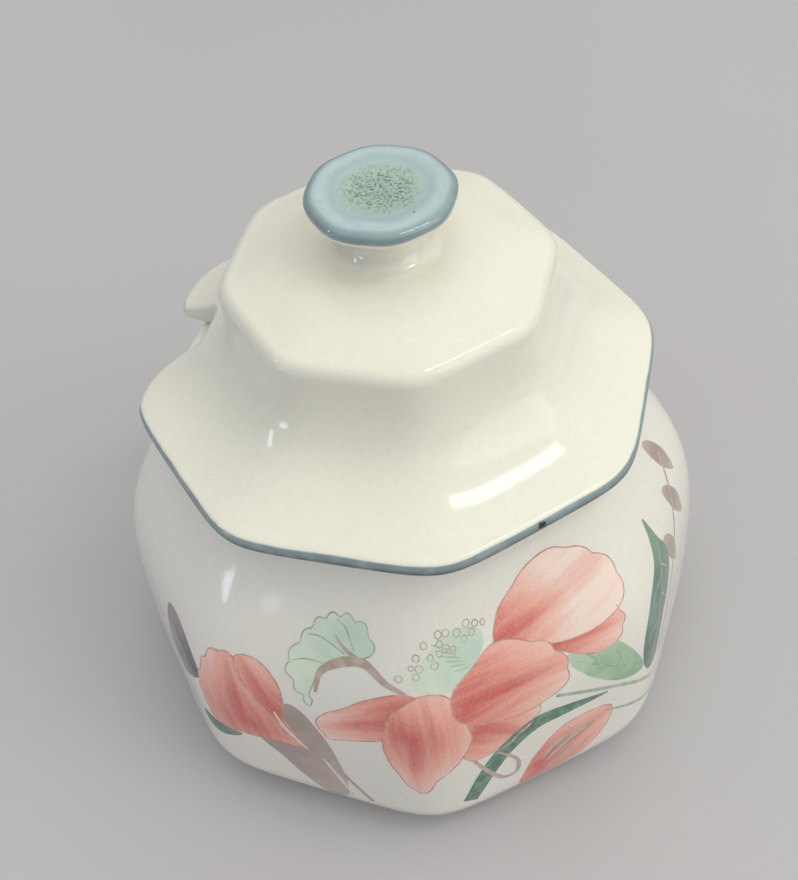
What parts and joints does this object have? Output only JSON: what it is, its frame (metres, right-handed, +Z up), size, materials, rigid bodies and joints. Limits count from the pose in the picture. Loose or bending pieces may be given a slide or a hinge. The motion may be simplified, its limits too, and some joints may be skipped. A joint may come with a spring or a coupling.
{
  "type": "sugar bowl",
  "caption": "Octagonal glazed ceramic sugar bowl with a full belly and a flared, domed lid that lifts off, with a spoon notch in its rim and a flat knob on top.",
  "frame": {"origin": "middle of the foot ring's flat underside, on the bowl's axis", "axes": "+Z up along the bowl's axis, the way the lid lifts off; the bowl's flats face along +X, -X, +Y and -Y; the lid's spoon notch is on the -X side"},
  "size_m": [0.1206, 0.1206, 0.1244],
  "materials": {
    "bowl_glaze": "gloss warm white glaze with soft coral, green and grey flowers under it",
    "lid_glaze": "gloss warm white glaze with a blue-grey band on the rim's edge",
    "knob_glaze": "gloss blue-grey glaze that breaks to green in the dish, white below the disc"
  },
  "bodies": {
    "bowl": {"bowl": "bowl_glaze"},
    "lid": {"lid": "lid_glaze", "knob": "knob_glaze"}
  },
  "joints": [
    {"name": "lid_lift", "type": "slide", "parent": "bowl", "child": "lid", "axis": [0, 0, 1], "range_m": [0, 0.06]}
  ]
}
